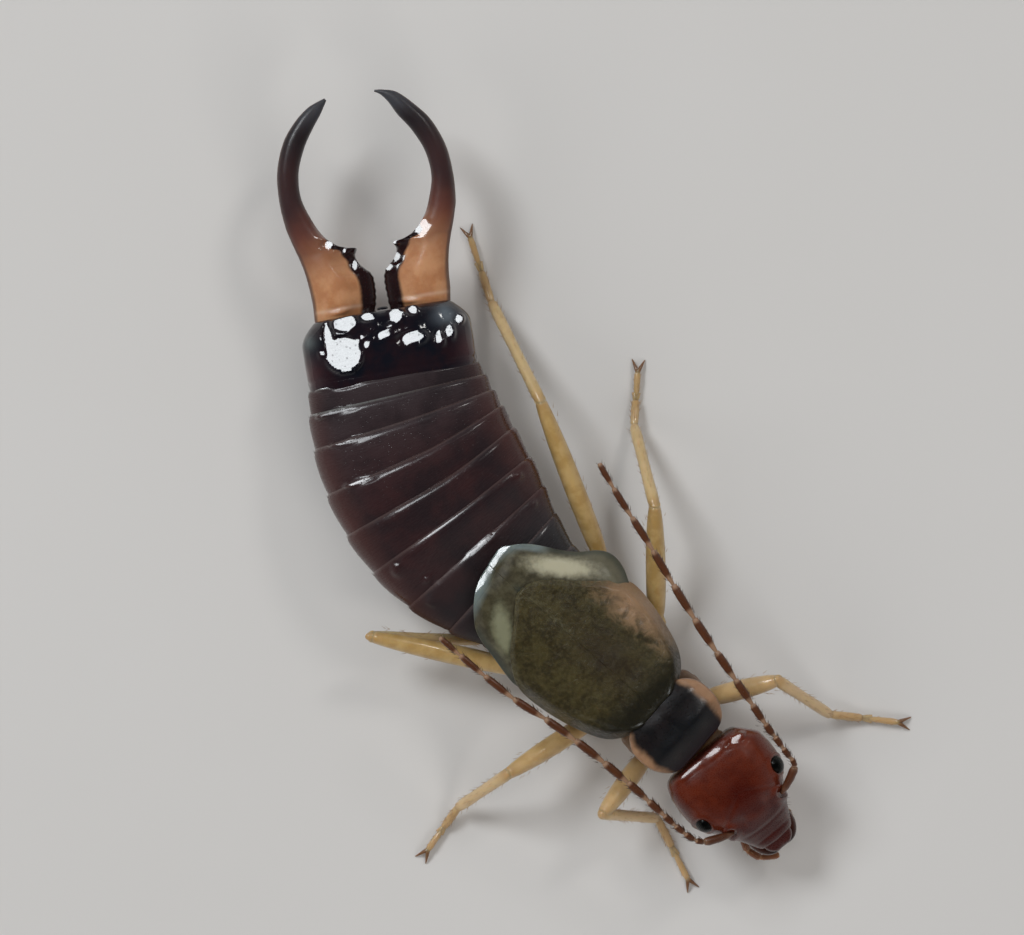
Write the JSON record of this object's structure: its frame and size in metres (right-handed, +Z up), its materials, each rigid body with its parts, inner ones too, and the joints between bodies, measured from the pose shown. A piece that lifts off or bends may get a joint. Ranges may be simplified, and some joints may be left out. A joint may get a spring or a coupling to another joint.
{
  "type": "earwig model",
  "caption": "Still, life-size male earwig standing on the floor, with jointed feelers laid back, short wing cases, stepped abdomen and curved, toothed forceps.",
  "frame": {"origin": "middle of the model's footprint, on the floor that it stands on", "axes": "+Y from the head to the forceps, +X the animal's left, +Z up"},
  "size_m": [0.0092, 0.0162, 0.0029],
  "materials": {
    "head_brown": "glossy red-brown shell",
    "eye_black": "glossy black",
    "feeler_brown": "satin dark brown with pale joints",
    "palp_amber": "satin amber",
    "pronotum_dark": "glossy dark brown with pale sides",
    "thorax_brown": "satin brown underside",
    "wing_olive": "satin olive brown",
    "squama_cream": "satin cream",
    "abdomen_dark": "glossy dark chocolate brown",
    "forceps_amber": "glossy amber going dark brown",
    "leg_yellow": "satin straw yellow"
  },
  "bodies": {
    "root": {"head": "head_brown", "eye_left": "eye_black", "eye_right": "eye_black", "antenna_left": "feeler_brown", "antenna_right": "feeler_brown", "palp_left": "palp_amber", "palp_right": "palp_amber", "pronotum": "pronotum_dark", "thorax": "thorax_brown", "tegmen_left": "wing_olive", "tegmen_right": "wing_olive", "squama_left": "squama_cream", "squama_right": "squama_cream", "abdomen": "abdomen_dark", "last_tergite": "abdomen_dark", "forceps_left": "forceps_amber", "forceps_right": "forceps_amber", "leg_front_left": "leg_yellow", "leg_front_right": "leg_yellow", "leg_middle_left": "leg_yellow", "leg_middle_right": "leg_yellow", "leg_hind_left": "leg_yellow", "leg_hind_right": "leg_yellow"}
  },
  "joints": []
}
